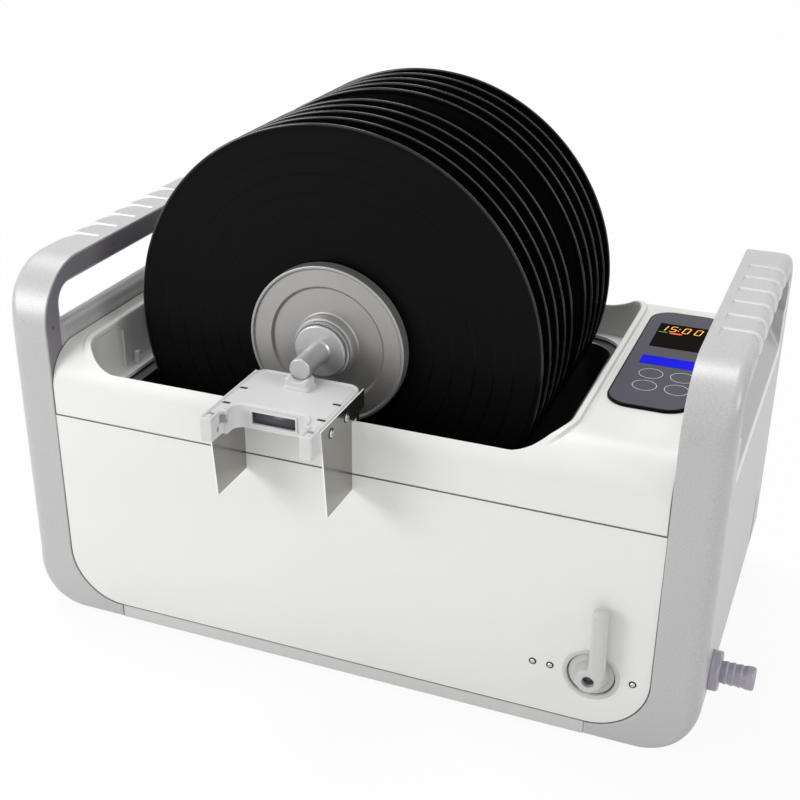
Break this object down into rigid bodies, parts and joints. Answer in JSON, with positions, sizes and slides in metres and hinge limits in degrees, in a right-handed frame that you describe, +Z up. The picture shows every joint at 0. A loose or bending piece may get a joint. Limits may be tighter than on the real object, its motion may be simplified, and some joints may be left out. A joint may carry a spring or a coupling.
{
  "type": "record cleaning machine",
  "caption": "Bench-top ultrasonic bath for vinyl records: white cover between grey handled end frames, record stack on a motor-driven spindle, drain valve with hose barb.",
  "frame": {"origin": "on the surface the feet stand on, under the centre of the whole machine's box", "axes": "+X to the side with the controls and the hose barb, +Y from the front to the rear, +Z up"},
  "size_m": [0.54, 0.4, 0.3872],
  "materials": {
    "cover_white": "satin",
    "strip_grey": "satin",
    "frame_grey": "fine texture",
    "plate_dark": "matt",
    "liner_grey": "satin",
    "tank_steel": "brushed",
    "rubber": "matt",
    "alu": "satin",
    "steel_mirror": "polished",
    "steel_dark": "zinc",
    "ceramic": "matt",
    "pad_orange": "matt",
    "board_green": "satin",
    "brass": "satin",
    "panel_film": "satin",
    "screen": "glossy",
    "black_plastic": "satin",
    "lever_white": "satin",
    "rack_white": "satin",
    "barb_metal": "satin",
    "gear_nylon": "satin",
    "vinyl": "glossy",
    "spacer_black": "matt"
  },
  "bodies": {
    "housing": {"base_tray": "strip_grey", "front_panel": "cover_white", "rear_panel": "cover_white", "top_cover": "cover_white", "well_liner": "liner_grey", "left_end_frame": "frame_grey", "right_end_frame": "frame_grey", "left_handle_plate": "plate_dark", "right_handle_plate": "plate_dark", "handle_screws": "steel_dark", "feet": "rubber", "tank": "tank_steel", "tank_gasket": "rubber", "transducer_heads": "alu", "piezo_rings": "ceramic", "transducer_weights": "steel_dark", "heater_pads": "pad_orange", "power_board": "board_green", "board_pillars": "brass", "display_board": "board_green", "control_panel": "panel_film", "display_window": "screen", "fan_frame": "black_plastic", "power_inlet": "black_plastic", "drain_ring": "lever_white", "valve_body": "brass", "panel_screws": "steel_dark", "drain_elbow": "tank_steel", "drain_pipe": "tank_steel", "drain_nut": "barb_metal", "drain_barb": "barb_metal"},
    "fan": {"fan_rotor": "black_plastic"},
    "drain_valve": {"valve_ball": "alu", "valve_lever": "lever_white", "lever_screw": "steel_dark"},
    "front_rack": {"front_cradle": "rack_white", "front_flange_left": "steel_mirror", "front_flange_right": "steel_mirror", "cradle_screws": "steel_dark"},
    "rear_rack": {"rear_cradle": "rack_white", "rear_flange_left": "steel_mirror", "rear_flange_right": "steel_mirror", "rear_cradle_screws": "steel_dark", "motor_case": "rack_white", "gear_motor": "steel_dark"},
    "pinion": {"motor_pinion": "gear_nylon"},
    "carrier": {"spindle_bush": "gear_nylon"},
    "spindle": {"spindle_rod": "alu", "rear_hub": "alu", "rear_seal": "rubber", "spacers": "spacer_black", "centre_spacer": "spacer_black", "drive_gear": "gear_nylon", "front_records": "vinyl", "rear_records": "vinyl"},
    "clamp": {"front_hub": "alu", "front_seal": "rubber"},
    "knob": {"clamp_knob": "alu"}
  },
  "joints": [
    {"name": "fan_spin", "type": "hinge", "parent": "housing", "child": "fan", "pos_m": [0.168, 0.13, 0.126], "axis": [0, 1, 0], "continuous": true},
    {"name": "valve_turn", "type": "hinge", "parent": "housing", "child": "drain_valve", "pos_m": [0.168, -0.14, 0.054], "axis": [0, 1, 0], "range_deg": [0, 90]},
    {"name": "front_rack_lift", "type": "slide", "parent": "housing", "child": "front_rack", "axis": [0, 0, 1], "range_m": [0, 0.12]},
    {"name": "rear_rack_lift", "type": "slide", "parent": "housing", "child": "rear_rack", "axis": [0, 0, 1], "range_m": [0, 0.12]},
    {"name": "spindle_lift", "type": "slide", "parent": "front_rack", "child": "carrier", "axis": [0, 0, 1], "range_m": [0, 0.3]},
    {"name": "spindle_spin", "type": "hinge", "parent": "carrier", "child": "spindle", "pos_m": [-0.0432, 0, 0.2364], "axis": [0, 1, 0], "continuous": true},
    {"name": "pinion_spin", "type": "hinge", "parent": "rear_rack", "child": "pinion", "pos_m": [-0.0432, 0.144, 0.2034], "axis": [0, 1, 0], "continuous": true},
    {"name": "clamp_slide", "type": "slide", "parent": "spindle", "child": "clamp", "axis": [0, -1, 0], "range_m": [0, 0.005]},
    {"name": "knob_turn", "type": "hinge", "parent": "clamp", "child": "knob", "pos_m": [-0.0432, -0.14, 0.2364], "axis": [0, -1, 0], "range_deg": [0, 1800]}
  ],
  "couplings": [
    {"joint": "rear_rack_lift", "follows": "front_rack_lift", "ratio": 1},
    {"joint": "pinion_spin", "follows": "spindle_spin", "ratio": -2},
    {"joint": "knob_turn", "follows": "clamp_slide", "rad_per_m": 6283.2}
  ]
}
